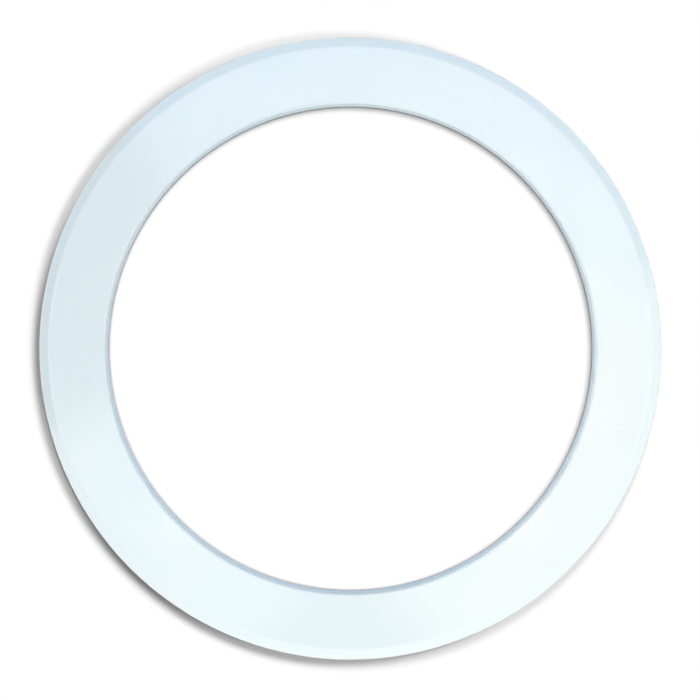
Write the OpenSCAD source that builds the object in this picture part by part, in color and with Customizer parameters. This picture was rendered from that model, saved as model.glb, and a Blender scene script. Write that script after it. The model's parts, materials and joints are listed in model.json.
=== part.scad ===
// Flat hollow hand ring for throwing, catching and spinning.
// Two moulded half shells meet at mid thickness and are welded along both rims.
// The origin is the centre of the underside, +Z is the ring's axis, and sizes are in millimetres.

/* [Ring] */
// Outside diameter
outside_d = 320; // [260:5:400]
// Width of the band, from the hand hole to the outer edge
band_w = 34.4; // [28:0.2:50]
// Thickness over both faces
thickness = 8; // [7:0.5:12]

/* [Edges] */
// Radial width of the bevel round the outside
bevel_w = 5.5; // [4:0.5:8]
// How far the bevel falls below the face
bevel_drop = 1.8; // [1:0.1:2.2]
// Radius of the crest between the face and the bevel
crest_r = 6; // [2:0.5:10]
// Radius between the bevel and the outer edge
edge_r = 0.8; // [0.4:0.1:1.2]
// Radius of the hand hole's edges
hand_r = 1.2; // [0.6:0.1:2]
// Depth of the fine V line where the halves meet
seam_line = 0.3; // [0.1:0.05:0.5]

/* [Walls] */
// Wall under the faces and the bevels
wall = 1.6; // [1.2:0.1:1.8]
// Solid width of the inner and the outer rim
rim_w = 3.4; // [3:0.1:4.4]

/* [Ribs] */
// Number of radial ribs in each half
rib_count = 36; // [12:6:48]
// Thickness of the radial and the round ribs
rib_t = 1.2; // [0.8:0.1:1.6]
// Gap that keeps each rib short of the seam
rib_gap = 0.2; // [0.1:0.05:0.4]

/* [Seam] */
// Thickness of the tongues on the front half
tongue_t = 1; // [0.6:0.1:1.4]
// How far the tongues reach past the seam
tongue_h = 1.2; // [0.6:0.1:1.4]
// Lead-in chamfer at the tips of tongues and posts
lead_in = 0.2; // [0.1:0.05:0.25]
// Clearance round a tongue in its groove
tongue_gap = 0.1; // [0.05:0.05:0.2]

/* [Locating posts] */
// Number of posts on the rear half
post_count = 6; // [3:1:12]
// Diameter of the posts
post_d = 3; // [2:0.5:4]
// How far the posts reach past the seam
post_h = 1.4; // [0.8:0.1:1.6]
// Clearance round a post in its socket
post_gap = 0.1; // [0.05:0.05:0.2]
// Wall of the bosses round the posts and the sockets
boss_wall = 1.5; // [1:0.1:2]

/* [Hidden] */
$fn = 180;

shell_colour = [0.92, 0.98, 1];

outside_r = outside_d / 2;
hole_r = outside_r - band_w;
half_t = thickness / 2;
bevel_start = outside_r - bevel_w;
bevel_angle = atan2(bevel_drop, bevel_w);

// The round rib and the posts stand on the middle of the band
mid_r = (hole_r + outside_r) / 2;
// The tongues and grooves run round the middle of each rim
seam_radii = [hole_r + rim_w / 2, outside_r - rim_w / 2];
// Ribs, bosses and tongues are sunk this far into the walls that carry them
root = wall / 4;

rib_pitch = 360 / rib_count;
post_pitch = 360 / post_count;

function unit(v) = v / norm(v);

// Height above the seam of a roof that lies depth under the face and the bevel, at radius r
function roof(r, depth) =
    min(half_t, half_t - (r - bevel_start) * tan(bevel_angle) - depth * (1 / cos(bevel_angle) - 1)) - depth;

// Radius at which that roof turns from the face to the bevel
function roof_bend(depth) = bevel_start - depth * tan(bevel_angle / 2);

// Section of a space inside one half: depth under the outside, side in from both rims, open at foot
function hollow(depth, side, foot) = [
    [hole_r + side, foot],
    [hole_r + side, half_t - depth],
    if (roof_bend(depth) < outside_r - side) [roof_bend(depth), half_t - depth],
    [outside_r - side, roof(outside_r - side, depth)],
    [outside_r - side, foot],
];

// What a round of radius r takes off the corner p between the sides that run to a and to b
module corner_waste(p, a, b, r) {
    to_a = unit(a - p);
    to_b = unit(b - p);
    inward = unit(to_a + to_b);
    half_angle = acos(to_a * to_b) / 2;
    run = r / tan(half_angle);
    centre = p + inward * r / sin(half_angle);
    difference() {
        polygon([p + to_a * run, centre, p + to_b * run, p - inward * r]);
        translate(centre) circle(r);
    }
}

// Outside of one half, from the seam up to the face
module half_outline() {
    hand_edge = [hole_r, half_t];
    crest = [bevel_start, half_t];
    rim_edge = [outside_r, half_t - bevel_drop];
    hand_seam = [hole_r, seam_line];
    rim_seam = [outside_r, seam_line];
    difference() {
        polygon([
            [hole_r + seam_line, 0],
            hand_seam,
            hand_edge,
            crest,
            rim_edge,
            rim_seam,
            [outside_r - seam_line, 0],
        ]);
        corner_waste(hand_edge, hand_seam, crest, hand_r);
        corner_waste(crest, hand_edge, rim_edge, crest_r);
        corner_waste(rim_edge, crest, rim_seam, edge_r);
    }
}

// Hollow section of one half, with the round rib under the middle of the face
module half_section() {
    difference() {
        half_outline();
        difference() {
            polygon(hollow(wall, rim_w, -rib_gap));
            translate([mid_r - rib_t / 2, rib_gap]) square([rib_t, half_t]);
        }
    }
}

// Sections of the tongues, with chamfered tips
module tongues() {
    for (r = seam_radii) {
        translate([r, 0]) polygon([
            [-tongue_t / 2, root],
            [-tongue_t / 2, lead_in - tongue_h],
            [lead_in - tongue_t / 2, -tongue_h],
            [tongue_t / 2 - lead_in, -tongue_h],
            [tongue_t / 2, lead_in - tongue_h],
            [tongue_t / 2, root],
        ]);
    }
}

// Sections of the grooves, open at the seam
module grooves() {
    groove_w = tongue_t + 2 * tongue_gap;
    groove_h = tongue_h + tongue_gap;
    for (r = seam_radii) {
        translate([r - groove_w / 2, -root]) square([groove_w, groove_h + root]);
    }
}

// Radial ribs across the hollow
module ribs() {
    plate = hollow(wall - root, rim_w - root, rib_gap);
    for (i = [0 : rib_count - 1]) {
        rotate([90, 0, i * rib_pitch]) linear_extrude(rib_t, center = true) polygon(plate);
    }
}

// Repeats its children at every post, midway between two radial ribs
module at_posts() {
    for (i = [0 : post_count - 1]) {
        rotate(i * post_pitch + rib_pitch / 2) translate([mid_r, 0, 0]) children();
    }
}

// Round bosses on the round rib
module bosses() {
    boss_top = half_t - wall + root;
    at_posts() translate([0, 0, rib_gap]) cylinder(d = post_d + 2 * boss_wall, h = boss_top - rib_gap);
}

// Posts that stand out of the bosses, with chamfered tips
module posts() {
    at_posts() {
        translate([0, 0, lead_in - post_h]) cylinder(d = post_d, h = post_h - lead_in + rib_gap + root);
        translate([0, 0, -post_h]) cylinder(d1 = post_d - 2 * lead_in, d2 = post_d, h = lead_in);
    }
}

// Blind sockets for the posts
module sockets() {
    at_posts() cylinder(d = post_d + 2 * post_gap, h = post_h + post_gap);
}

// Front half: tongues on both rims and a socket for each post
module front_shell() {
    color(shell_colour) translate([0, 0, half_t]) difference() {
        union() {
            rotate_extrude() {
                half_section();
                tongues();
            }
            ribs();
            bosses();
        }
        sockets();
    }
}

// Rear half: grooves in both rims and the posts
module rear_shell() {
    color(shell_colour) translate([0, 0, half_t]) mirror([0, 0, 1]) {
        rotate_extrude() difference() {
            half_section();
            grooves();
        }
        ribs();
        bosses();
        posts();
    }
}

front_shell();
rear_shell();
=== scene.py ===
"""Looks of the flat throwing ring: its moulded plastic, the floor, the light and the camera."""
import json
import math

import bpy
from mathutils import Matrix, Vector


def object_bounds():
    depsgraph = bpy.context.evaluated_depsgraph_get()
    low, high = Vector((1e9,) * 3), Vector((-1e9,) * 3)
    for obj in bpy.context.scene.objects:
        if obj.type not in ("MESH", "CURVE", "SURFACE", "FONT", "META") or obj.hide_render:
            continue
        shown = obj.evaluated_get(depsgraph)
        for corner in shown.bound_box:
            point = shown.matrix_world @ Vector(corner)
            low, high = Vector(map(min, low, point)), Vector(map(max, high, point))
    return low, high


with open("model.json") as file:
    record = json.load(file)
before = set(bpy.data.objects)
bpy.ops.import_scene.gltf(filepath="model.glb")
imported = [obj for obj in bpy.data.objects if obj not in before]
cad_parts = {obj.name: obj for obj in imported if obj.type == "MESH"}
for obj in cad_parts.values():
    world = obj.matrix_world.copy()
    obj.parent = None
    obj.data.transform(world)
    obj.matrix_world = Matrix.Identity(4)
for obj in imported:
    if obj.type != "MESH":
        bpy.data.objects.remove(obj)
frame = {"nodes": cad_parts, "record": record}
cad_low, cad_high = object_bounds()

# The photograph's frame and the ring's outline in it, in pixels
PHOTO_SIDE = 700
RING_CENTRE_PX = (350.4, 348.6)
RING_RADIUS_PX = 311.0

# Camera: its height over the front face, and how far up the ring's thickness the outline that it sees lies
CAMERA_HEIGHT = 0.48
OUTLINE_SHARE = 0.7
SENSOR_MM = 36.0
CLIP_START = 0.01

# Sizes of the ring, in metres
OUTSIDE_R = (cad_high.x - cad_low.x) / 2
THICKNESS = cad_high.z - cad_low.z
HALF_T = THICKNESS / 2
HOLE_R = next(m["dims"]["r_mm"] for m in frame["record"]["mounts"] if m["name"] == "hand_hole") / 1000
BEVEL_W = 0.0055
BEVEL_DROP = 0.0018
CREST_R = 0.006
EDGE_R = 0.0008
HAND_R = 0.0012

# Least agreement of a normal from the section with the mesh's own, as a cosine. In the seam and inside the
# shells they agree less, and the mesh's own is used
SAME_SKIN = 0.75
UPRIGHT = math.pi / 2

# The moulded plastic: its colour, a slightly warmer patch, a pale tone for scuffs, wear and painted
# highlight, and seam dirt
ICE_BLUE = (0.752, 0.888, 0.926, 1.0)
WARM_PATCH = (0.764, 0.890, 0.918, 1.0)
PALE_WEAR_AND_HIGHLIGHT = (0.90, 0.955, 0.97, 1.0)
SEAM_DIRT = (0.50, 0.58, 0.60, 1.0)
PLASTIC_IOR = 1.5

# Noise in the plastic: scale and detail, and the band of its values in which a mark goes from none to full
PATCH_NOISE, PATCH_BAND = (14.0, 4.0), (0.35, 0.65)
SCUFF_NOISE, SCUFF_BAND = (18.0, 2.0), (0.45, 0.62)
WEAR_NOISE, WEAR_BAND = (45.0, 6.0), (0.3, 0.55)
HAIRLINE_NOISE, HAIRLINE_BAND = (1.0, 2.0), (0.68, 0.74)
GRAIN_NOISE = (2600.0, 2.0)
STREAK_NOISE = (3.0, 3.0)
STREAK_STRETCH = 600.0
HAIRLINE_STRETCH = (45.0, 1600.0, 1600.0)
HAIRLINE_TURNS = (0.5, 2.2)

# Where wear starts and is full, in shares of the radius of the edge's round; on the outer edge it is also a
# painted highlight
EDGE_WEAR_AND_HIGHLIGHT_IN = (1.2, 0.8)
HAND_WEAR_IN = (0.8, 0.3)
HAND_WEAR_DOWN = (1.0, 0.6)

# Where wear, painted highlight (outer edge and bevel's crest) and seam dirt start and where they are full, in
# metres
EDGE_WEAR_AND_HIGHLIGHT_UP = (0.001, 0.0018)
CREST_HIGHLIGHT_OFF = (0.0008, 0.0002)
CREST_HIGHLIGHT_DOWN = (0.0006, 0.0003)
SEAM_DIRT_UP = (0.0003, 0.0001)

# How strongly the marks show in the colour, the roughness and the relief
HAND_WEAR = 0.3
# The bevel's crest gets a painted highlight, not wear
CREST_HIGHLIGHT = 0.4
LEAST_WEAR = 0.35
SCUFF_TINT = 0.25
SEAM_TINT = 0.6
GLOSS = 0.14
STREAK_ROUGHNESS = 0.05
SCUFF_ROUGHNESS = 0.12
WEAR_ROUGHNESS = 0.15
STREAK_RELIEF = 0.3
SCUFF_RELIEF = -0.5
RELIEF_STRENGTH = 0.12
RELIEF_DEPTH = 0.00004

# White floor: a sheet, a disc on it that shows through the hole, and the colour that they throw back
FLOOR_SIDE = 12.0
FLOOR_DROP = 0.0004
DISC_SIDES = 180
FLOOR_WHITE = (0.9, 0.9, 0.9, 1.0)
FLOOR_BOUNCE = (0.33, 0.48, 0.64, 1.0)

# Strength of the surround as a light
AMBIENT = 0.02

# Colours of the panels
FAIR = (1.07, 1.045, 1.0)
WARM = (1.30, 1.025, 0.84)
MILD = (1.02, 1.0, 0.96)
CLEAR = (0.965, 1.045, 1.16)
COOL = (0.90, 1.0, 1.16)
SKY = (0.78, 1.0, 1.30)

# Rings of soft panels. The place of a ring is its tilt from straight up, its distance from the centre and the
# height of a panel. A sector is from angle, to angle, brightness and colour. Angles and tilts are in degrees,
# and angles run clockwise from the image's right
PANEL_ARC = 30
OVERHEAD_PLACE = (23, 1.11, 0.22)
OVERHEAD = (
    (-15, 75, 3.4, WARM),
    (75, 105, 1.75, CLEAR),
    (105, 165, 3.25, FAIR),
    (165, 225, 0.90, FAIR),
    (225, 285, 2.97, CLEAR),
    (285, 345, 3.3, FAIR),
)
SIDES_PLACE = (59, 1.05, 0.27)
SIDES = (
    (-15, 75, 2.92, MILD),
    (75, 165, 3.02, MILD),
    (165, 195, 0.50, COOL),
    (195, 225, 0.92, COOL),
    (225, 285, 1.77, SKY),
    (285, 345, 1.33, SKY),
)
BETWEEN_PLACE = (40, 1.08, 0.4)
BETWEEN = (
    (-15, 75, 2.9, MILD),
    (75, 165, 2.3, COOL),
    (165, 225, 1.4, COOL),
    (225, 345, 2.1, COOL),
)

# Low lamp in the middle of the hole, for its wall at the image's right: size and height in metres
HOLE_LAMP_SIZE = (0.12, 0.01)
HOLE_LAMP_Z = 0.006
HOLE_LAMP_ANGLE, HOLE_LAMP_TILT = 165, 90
HOLE_LAMP_BRIGHTNESS = 7.5

# Distant lamps for the sheet and for the disc: angle, tilt, strength, and width in degrees
SHEET_SUNS = (
    (270, 48, 0.454, 18),
    (315, 48, 0.557, 18),
    (360, 48, 0.347, 18),
    (405, 48, 0.294, 18),
)
DISC_SUNS = (
    (314, 11, 0.91, 34),
    (155, 7, 0.22, 8),
)


def add(tree, kind, settings=(), **sockets):
    """New shader node. A socket that is given another socket is linked, and any other is set."""
    node = tree.nodes.new("ShaderNode" + kind)
    for name, value in dict(settings).items():
        setattr(node, name, value)
    for name, value in sockets.items():
        connect(tree, node.inputs[name.replace("_", " ")], value)
    return node


def connect(tree, socket, value):
    if isinstance(value, bpy.types.NodeSocket):
        tree.links.new(value, socket)
    else:
        socket.default_value = value


def maths(tree, operation, *values):
    node = tree.nodes.new("ShaderNodeMath")
    node.operation = operation
    for socket, value in zip(node.inputs, values):
        connect(tree, socket, value)
    return node.outputs[0]


def vector_maths(tree, operation, *vectors):
    node = add(tree, "VectorMath", {"operation": operation})
    for socket, vector in zip(node.inputs, vectors):
        connect(tree, socket, vector)
    return node.outputs


def step(tree, value, low, high, to_low=0.0, to_high=1.0):
    """Smooth step of a value from low to high."""
    node = add(tree, "MapRange", {"interpolation_type": "SMOOTHSTEP"}, Value=value)
    for name, number in (("From Min", low), ("From Max", high), ("To Min", to_low), ("To Max", to_high)):
        node.inputs[name].default_value = number
    return node.outputs["Result"]


def noise(tree, vector, scale, detail):
    return add(tree, "TexNoise", Vector=vector, Scale=scale, Detail=detail).outputs["Fac"]


def blend(tree, share, first, second):
    """Mix of two colours."""
    node = add(tree, "Mix", {"data_type": "RGBA"}, Factor=share)
    connect(tree, node.inputs[6], first)
    connect(tree, node.inputs[7], second)
    return node.outputs[2]


def blend_vectors(tree, share, first, second):
    node = add(tree, "Mix", {"data_type": "VECTOR"}, Factor=share)
    connect(tree, node.inputs[4], first)
    connect(tree, node.inputs[5], second)
    return node.outputs[1]


def new_material(name):
    material = bpy.data.materials.new(name)
    material.use_nodes = True
    return material, material.node_tree, material.node_tree.nodes["Principled BSDF"]


class RingPlace:
    """Where a point of the ring lies: its radius, direction outward, side of the seam and height off it.

    The vector round changes slowly round the ring and fast across its band.
    """

    def __init__(self, tree):
        self.point = add(tree, "TexCoord").outputs["Object"]
        x, y, z = add(tree, "SeparateXYZ", Vector=self.point).outputs
        flat = add(tree, "CombineXYZ", X=x, Y=y).outputs[0]
        self.radius = vector_maths(tree, "LENGTH", flat)["Value"]
        off_seam = maths(tree, "SUBTRACT", z, cad_low.z + HALF_T)
        self.height = maths(tree, "ABSOLUTE", off_seam)
        self.side = maths(tree, "MULTIPLY_ADD", maths(tree, "GREATER_THAN", off_seam, 0.0), 2.0, -1.0)
        self.outward = [maths(tree, "DIVIDE", part, self.radius) for part in (x, y)]
        across = maths(tree, "MULTIPLY", self.radius, STREAK_STRETCH)
        self.round = add(tree, "CombineXYZ", X=self.outward[0], Y=self.outward[1], Z=across).outputs[0]


def section_lean(tree, place):
    """Angle by which the ring's section leans outward from straight up, added up over its three rounds."""
    slope = math.atan2(BEVEL_DROP, BEVEL_W)
    crest_run = CREST_R * math.tan(slope / 2)
    edge_run = EDGE_R * math.tan((UPRIGHT - slope) / 2)
    rounds = (
        (HOLE_R + HAND_R, HALF_T - HAND_R, -UPRIGHT, 0.0),
        (OUTSIDE_R - BEVEL_W - crest_run, HALF_T - CREST_R, 0.0, slope),
        (OUTSIDE_R - EDGE_R, HALF_T - BEVEL_DROP - edge_run, slope, UPRIGHT),
    )
    # The last round never gives less than the slope, so the sum starts that much lower
    lean = -slope
    for centre_r, centre_h, least, most in rounds:
        out = maths(tree, "SUBTRACT", place.radius, centre_r)
        up = maths(tree, "SUBTRACT", place.height, centre_h)
        turn = add(tree, "Clamp", Value=maths(tree, "ARCTAN2", out, up), Min=least, Max=most).outputs[0]
        lean = maths(tree, "ADD", lean, turn)
    return lean


def turned_normal(tree, place):
    """Normal of the turned outside, from its section, so that no facets show in the gloss of the rounds."""
    lean = section_lean(tree, place)
    out = maths(tree, "SINE", lean)
    x, y = [maths(tree, "MULTIPLY", part, out) for part in place.outward]
    z = maths(tree, "MULTIPLY", place.side, maths(tree, "COSINE", lean))
    own = add(tree, "CombineXYZ", X=x, Y=y, Z=z).outputs[0]
    spaces = {"vector_type": "NORMAL", "convert_from": "OBJECT", "convert_to": "WORLD"}
    own = add(tree, "VectorTransform", spaces, Vector=own).outputs[0]
    meshed = add(tree, "NewGeometry").outputs["Normal"]
    agreement = vector_maths(tree, "DOT_PRODUCT", own, meshed)["Value"]
    return blend_vectors(tree, maths(tree, "GREATER_THAN", agreement, SAME_SKIN), meshed, own)


def edge_wear_and_highlight(tree, place):
    """Pale marks broken up by noise: wear on the hand hole's edge, painted highlight on the bevel's crest,
    both on the outer edge.
    """
    # Outer edge: wear and a painted highlight
    edge_in = [OUTSIDE_R - EDGE_R * share for share in EDGE_WEAR_AND_HIGHLIGHT_IN]
    outer = maths(tree, "MULTIPLY",
                  step(tree, place.radius, *edge_in),
                  step(tree, place.height, *EDGE_WEAR_AND_HIGHLIGHT_UP))

    hand_in = [HOLE_R + HAND_R * share for share in HAND_WEAR_IN]
    hand_up = [HALF_T - HAND_R * share for share in HAND_WEAR_DOWN]
    hand = maths(tree, "MULTIPLY",
                 step(tree, place.radius, *hand_in),
                 step(tree, place.height, *hand_up, to_high=HAND_WEAR))

    # Bevel's crest: a painted highlight
    off_crest = maths(tree, "ABSOLUTE", maths(tree, "SUBTRACT", place.radius, OUTSIDE_R - BEVEL_W))
    crest_up = [HALF_T - depth for depth in CREST_HIGHLIGHT_DOWN]
    crest = maths(tree, "MULTIPLY",
                  step(tree, off_crest, *CREST_HIGHLIGHT_OFF),
                  step(tree, place.height, *crest_up, to_high=CREST_HIGHLIGHT))

    edges = maths(tree, "MAXIMUM", outer, maths(tree, "MAXIMUM", hand, crest))
    broken = step(tree, noise(tree, place.point, *WEAR_NOISE), *WEAR_BAND, to_low=LEAST_WEAR)
    return maths(tree, "MULTIPLY", edges, broken)


def hairlines(tree, place, turn):
    """Thin straight marks that all run one way."""
    about_z = {"rotation_type": "Z_AXIS"}
    turned = add(tree, "VectorRotate", about_z, Vector=place.point, Angle=turn).outputs[0]
    drawn_out = vector_maths(tree, "MULTIPLY", turned, HAIRLINE_STRETCH)[0]
    return step(tree, noise(tree, drawn_out, *HAIRLINE_NOISE), *HAIRLINE_BAND)


def scuffs(tree, place):
    """Hairlines from handling, that cross in a few patches."""
    first, second = [hairlines(tree, place, turn) for turn in HAIRLINE_TURNS]
    patch = step(tree, noise(tree, place.point, *SCUFF_NOISE), *SCUFF_BAND)
    return maths(tree, "MULTIPLY", maths(tree, "MAXIMUM", first, second), patch)


def plastic():
    """Pale glossy plastic with colour patches, grain, turned streaks, scuffs, pale edges of wear and painted
    highlight, and seam dirt.
    """
    material, tree, shader = new_material("shell_plastic")
    place = RingPlace(tree)
    wear_and_highlight = edge_wear_and_highlight(tree, place)
    scuffed = scuffs(tree, place)
    streaks = noise(tree, place.round, *STREAK_NOISE)
    grain = noise(tree, place.point, *GRAIN_NOISE)

    patches = step(tree, noise(tree, place.point, *PATCH_NOISE), *PATCH_BAND)
    colour = blend(tree, patches, ICE_BLUE, WARM_PATCH)
    colour = blend(tree, maths(tree, "MULTIPLY", scuffed, SCUFF_TINT), colour, PALE_WEAR_AND_HIGHLIGHT)
    # Pale edges: wear, and painted highlight on the outer edge and the bevel's crest
    colour = blend(tree, wear_and_highlight, colour, PALE_WEAR_AND_HIGHLIGHT)
    seam = maths(tree, "MULTIPLY", step(tree, place.height, *SEAM_DIRT_UP), SEAM_TINT)
    colour = blend(tree, seam, colour, SEAM_DIRT)
    connect(tree, shader.inputs["Base Color"], colour)

    roughness = maths(tree, "MULTIPLY_ADD", streaks, STREAK_ROUGHNESS, GLOSS - STREAK_ROUGHNESS / 2)
    roughness = maths(tree, "MULTIPLY_ADD", scuffed, SCUFF_ROUGHNESS, roughness)
    roughness = maths(tree, "MULTIPLY_ADD", wear_and_highlight, WEAR_ROUGHNESS, roughness)
    connect(tree, shader.inputs["Roughness"], roughness)
    shader.inputs["IOR"].default_value = PLASTIC_IOR

    relief = maths(tree, "MULTIPLY_ADD", streaks, STREAK_RELIEF, grain)
    relief = maths(tree, "MULTIPLY_ADD", scuffed, SCUFF_RELIEF, relief)
    bump = add(tree, "Bump", Strength=RELIEF_STRENGTH, Distance=RELIEF_DEPTH, Height=relief)
    connect(tree, bump.inputs["Normal"], turned_normal(tree, place))
    connect(tree, shader.inputs["Normal"], bump.outputs["Normal"])
    return material


def dress_ring():
    """Plastic on both shells. They throw no diffuse light about, so that the contact shadow stays dark."""
    shells = [frame["nodes"][name] for name in ("front_shell", "rear_shell")]
    finish = plastic()
    for shell in shells:
        shell.visible_diffuse = False
        for slot in shell.material_slots:
            slot.material = finish
    return shells


def seen_share(tree):
    """1 for the camera, reflections and what shows through glass, and 0 for diffuse light."""
    path = add(tree, "LightPath").outputs
    seen = maths(tree, "MAXIMUM", path["Is Camera Ray"], path["Is Glossy Ray"])
    return maths(tree, "MAXIMUM", seen, path["Is Transmission Ray"])


def floor_material():
    """Matt white where it is seen, that throws less light back up at the ring."""
    material, tree, shader = new_material("floor_white")
    connect(tree, shader.inputs["Base Color"], blend(tree, seen_share(tree), FLOOR_BOUNCE, FLOOR_WHITE))
    shader.inputs["Roughness"].default_value = 1.0
    shader.inputs["Specular IOR Level"].default_value = 0.0
    return material


def make_floor():
    """White sheet under everything, and a white disc on it that shows through the hole."""
    material = floor_material()
    half = FLOOR_SIDE / 2
    sheet_z = cad_low.z - FLOOR_DROP
    corners = [(x, y, sheet_z) for x, y in ((-half, -half), (half, -half), (half, half), (-half, half))]
    disc_z = cad_low.z - FLOOR_DROP / 2
    disc_r = (HOLE_R + OUTSIDE_R) / 2
    turns = [2 * math.pi * i / DISC_SIDES for i in range(DISC_SIDES)]
    rim = [(disc_r * math.cos(t), disc_r * math.sin(t), disc_z) for t in turns]
    pieces = []
    for name, points in (("floor_sheet", corners), ("floor_disc", rim)):
        mesh = bpy.data.meshes.new(name)
        mesh.from_pydata(points, [], [tuple(range(len(points)))])
        mesh.materials.append(material)
        piece = bpy.data.objects.new(name, mesh)
        bpy.context.scene.collection.objects.link(piece)
        pieces.append(piece)
    return pieces


def make_world():
    """White surround where it is seen, and almost none of it as light."""
    world = bpy.data.worlds.new("white_surround")
    bpy.context.scene.world = world
    world.use_nodes = True
    tree = world.node_tree
    strength = add(tree, "MapRange", Value=seen_share(tree), To_Min=AMBIENT, To_Max=1.0).outputs["Result"]
    background = tree.nodes["Background"]
    background.inputs["Color"].default_value = (1, 1, 1, 1)
    connect(tree, background.inputs["Strength"], strength)


def receivers(name, objects):
    """Collection of the objects that a lamp lights."""
    group = bpy.data.collections.new(name)
    for o in objects:
        group.objects.link(o)
    return group


def image_direction(angle, tilt):
    """Unit vector towards a lamp: angle clockwise from the image's right and tilt from straight up."""
    a, t = math.radians(angle), math.radians(tilt)
    return Vector((math.cos(a) * math.sin(t), -math.sin(a) * math.sin(t), math.cos(t)))


def place_lamp(data, towards, group):
    lamp = bpy.data.objects.new(data.name, data)
    lamp.rotation_mode = "QUATERNION"
    lamp.rotation_quaternion = towards.to_track_quat("Z", "Y")
    lamp.light_linking.receiver_collection = group
    lamp.visible_camera = False
    bpy.context.scene.collection.objects.link(lamp)
    return lamp


def sun(name, angle, tilt, strength, width, group):
    """Distant lamp of a given width, for the ring's shadow on a piece of floor."""
    data = bpy.data.lights.new(name, "SUN")
    data.energy = strength * math.pi
    data.angle = math.radians(width)
    place_lamp(data, image_direction(angle, tilt), group)


def panel(name, size, brightness, colour, towards, group):
    """Flat soft lamp that shines away from the direction it is placed in."""
    width, height = size
    data = bpy.data.lights.new(name, "AREA")
    data.shape = "RECTANGLE"
    data.size, data.size_y = width, height
    data.energy = brightness * math.pi * width * height
    data.color = colour
    return place_lamp(data, towards, group)


def panel_ring(name, place, sectors, group, gloss_only=False):
    """Soft panels all round the ring, each as bright as its sector and facing the ring's centre."""
    tilt, distance, height = place
    width = 2 * distance * math.sin(math.radians(tilt)) * math.tan(math.radians(PANEL_ARC / 2))
    for start, end, brightness, colour in sectors:
        for angle in range(start, end, PANEL_ARC):
            towards = image_direction(angle + PANEL_ARC / 2, tilt)
            lamp = panel(f"{name}_{angle}", (width, height), brightness, colour, towards, group)
            lamp.location = towards * distance
            lamp.visible_diffuse = not gloss_only


def light_ring(shells):
    """Panels at three heights, the middle ones for the gloss alone, and the low lamp in the hole."""
    on_ring = receivers("lit_ring", shells)
    panel_ring("overhead", OVERHEAD_PLACE, OVERHEAD, on_ring)
    panel_ring("side", SIDES_PLACE, SIDES, on_ring)
    panel_ring("between", BETWEEN_PLACE, BETWEEN, on_ring, gloss_only=True)
    towards = image_direction(HOLE_LAMP_ANGLE, HOLE_LAMP_TILT)
    hole_lamp = panel("hole_lamp", HOLE_LAMP_SIZE, HOLE_LAMP_BRIGHTNESS, WARM, towards, on_ring)
    hole_lamp.location.z = HOLE_LAMP_Z


def light_floor(sheet, disc):
    for name, piece, suns in (("sheet", sheet, SHEET_SUNS), ("disc", disc, DISC_SUNS)):
        group = receivers(f"lit_{name}", [piece])
        for angle, tilt, strength, width in suns:
            sun(f"{name}_lamp_{angle}", angle, tilt, strength, width, group)


def make_camera():
    """Straight down on the front face, with the image's top towards +Y."""
    data = bpy.data.cameras.new("camera")
    camera = bpy.data.objects.new("camera", data)
    outline_z = cad_low.z + THICKNESS * OUTLINE_SHARE
    camera_z = cad_high.z + CAMERA_HEIGHT
    metres_per_px = OUTSIDE_R / RING_RADIUS_PX
    offset_x = (PHOTO_SIDE / 2 - RING_CENTRE_PX[0]) * metres_per_px
    offset_y = (RING_CENTRE_PX[1] - PHOTO_SIDE / 2) * metres_per_px
    camera.location = (offset_x, offset_y, camera_z)
    data.sensor_width = SENSOR_MM
    data.lens = SENSOR_MM * (camera_z - outline_z) / (PHOTO_SIDE * metres_per_px)
    data.clip_start = CLIP_START
    bpy.context.scene.collection.objects.link(camera)
    bpy.context.scene.camera = camera


ring_shells = dress_ring()
floor_sheet, floor_disc = make_floor()
make_world()
light_ring(ring_shells)
light_floor(floor_sheet, floor_disc)
make_camera()

bpy.context.scene.view_settings.view_transform = "Standard"
